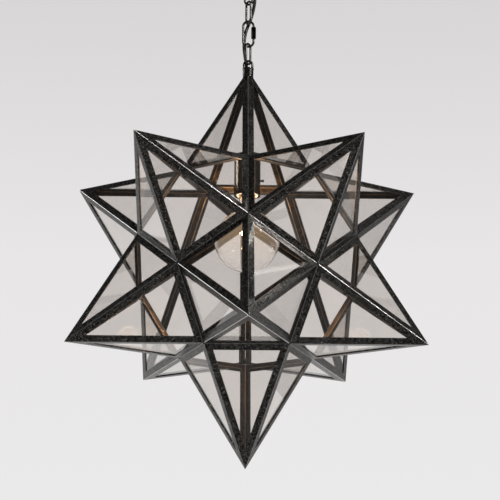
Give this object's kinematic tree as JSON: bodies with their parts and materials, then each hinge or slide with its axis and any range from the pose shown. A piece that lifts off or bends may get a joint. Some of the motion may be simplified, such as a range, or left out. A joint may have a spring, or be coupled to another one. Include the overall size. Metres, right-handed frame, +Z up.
{
  "type": "star pendant lantern",
  "caption": "Pendant lantern shaped as a many-pointed glass star on folded iron strips, hung by a short chain from a ceiling canopy, with a globe bulb inside and a spike that opens.",
  "frame": {"origin": "middle of the ceiling face, between the two slots of the mounting strap", "axes": "+Z up into the ceiling along the chain and the star's axis, +X along the mounting strap, the front of the star faces -Y"},
  "size_m": [0.5188, 0.5456, 0.8035],
  "materials": {
    "iron": "black-brown patina over folded sheet iron, mottled, half shiny, worn on the folds",
    "glazing_iron": "brown, dull, inner glazing strips",
    "solder": "dark lumpy solder",
    "pane_glass": "clear window glass with a faint green cast",
    "zinc": "zinc-plated, satin",
    "dark_nickel": "dark nickel, shiny",
    "black_steel": "blackened steel, half shiny",
    "bronze": "dark bronze, shiny",
    "brass": "plain brass, satin",
    "porcelain": "glazed",
    "cord_black": "black flexible cord sheath",
    "black_glass": "opaque black base insulator",
    "bulb_glass": "clear, smooth",
    "filament": "lit filament"
  },
  "bodies": {
    "ceiling": {"canopy": "bronze", "mounting_strap": "zinc", "nipple": "zinc", "nipple_nuts": "zinc", "canopy_loop": "dark_nickel", "cord": "cord_black"},
    "upper_link": {"upper_link": "dark_nickel"},
    "middle_link": {"middle_link": "dark_nickel"},
    "screw_link": {"screw_link": "dark_nickel"},
    "link_sleeve": {"link_sleeve": "black_steel"},
    "lower_link": {"lower_link": "dark_nickel"},
    "star": {"star_loop": "dark_nickel", "stem_tube": "bronze", "stem_nuts": "zinc", "socket_cup": "bronze", "cup_screw": "zinc", "socket_insulator": "porcelain", "socket_contacts": "brass", "top_spike_bars": "iron", "upper_spike_1_bars": "iron", "upper_spike_2_bars": "iron", "upper_spike_3_bars": "iron", "upper_spike_4_bars": "iron", "upper_spike_5_bars": "iron", "lower_spike_1_bars": "iron", "lower_spike_2_bars": "iron", "lower_spike_4_bars": "iron", "lower_spike_5_bars": "iron", "bottom_spike_bars": "iron", "upper_valleys": "iron", "belt_valleys": "iron", "lower_valleys": "iron", "top_spike_glass": "pane_glass", "upper_spike_1_glass": "pane_glass", "upper_spike_2_glass": "pane_glass", "upper_spike_3_glass": "pane_glass", "upper_spike_4_glass": "pane_glass", "upper_spike_5_glass": "pane_glass", "lower_spike_1_glass": "pane_glass", "lower_spike_2_glass": "pane_glass", "lower_spike_4_glass": "pane_glass", "lower_spike_5_glass": "pane_glass", "bottom_spike_glass": "pane_glass", "ridge_glazing_strips": "glazing_iron", "valley_glazing_strips": "glazing_iron", "solder_lumps": "solder", "frame_hinge_leaf": "iron", "hinge_pin": "zinc", "door_catch": "brass"},
    "door": {"door_spike_bars": "iron", "door_spike_glass": "pane_glass", "door_base_strips": "iron", "door_glazing_strips": "glazing_iron", "door_hinge_leaf": "iron", "door_pull": "brass"},
    "bulb": {"bulb_glass": "bulb_glass", "bulb_base": "brass", "bulb_contact": "black_glass", "bulb_mount": "bulb_glass", "bulb_filament": "filament"}
  },
  "joints": [
    {"name": "canopy_loop_swing", "type": "hinge", "parent": "ceiling", "child": "upper_link", "pos_m": [0, 0, -0.0549], "axis": [0, 1, 0], "range_deg": [-15, 15], "deforming": ["cord"]},
    {"name": "upper_link_swing", "type": "hinge", "parent": "upper_link", "child": "middle_link", "pos_m": [0, 0, -0.0877], "axis": [1, 0, 0], "range_deg": [-15, 15], "deforming": ["cord"]},
    {"name": "middle_link_swing", "type": "hinge", "parent": "middle_link", "child": "screw_link", "pos_m": [0, 0, -0.11954], "axis": [0.5878, -0.809, 0], "range_deg": [-15, 15], "deforming": ["cord"]},
    {"name": "screw_link_swing", "type": "hinge", "parent": "screw_link", "child": "lower_link", "pos_m": [0, 0, -0.15635], "axis": [1, 0, 0], "range_deg": [-15, 15], "deforming": ["cord"]},
    {"name": "lower_link_swing", "type": "hinge", "parent": "lower_link", "child": "star", "pos_m": [0, 0, -0.1845], "axis": [0.5878, 0.809, 0], "range_deg": [-15, 15], "deforming": ["cord"]},
    {"name": "sleeve_unscrew", "type": "slide", "parent": "screw_link", "child": "link_sleeve", "axis": [0, 0, -1], "range_m": [0, 0.0045]},
    {"name": "door_swing", "type": "hinge", "parent": "star", "child": "door", "pos_m": [0.05039, 0.06935, -0.6373], "axis": [-0.809, 0.5878, 0], "range_deg": [0, 90]},
    {"name": "bulb_unscrew", "type": "slide", "parent": "star", "child": "bulb", "axis": [0, 0, -1], "range_m": [0, 0.026]}
  ]
}
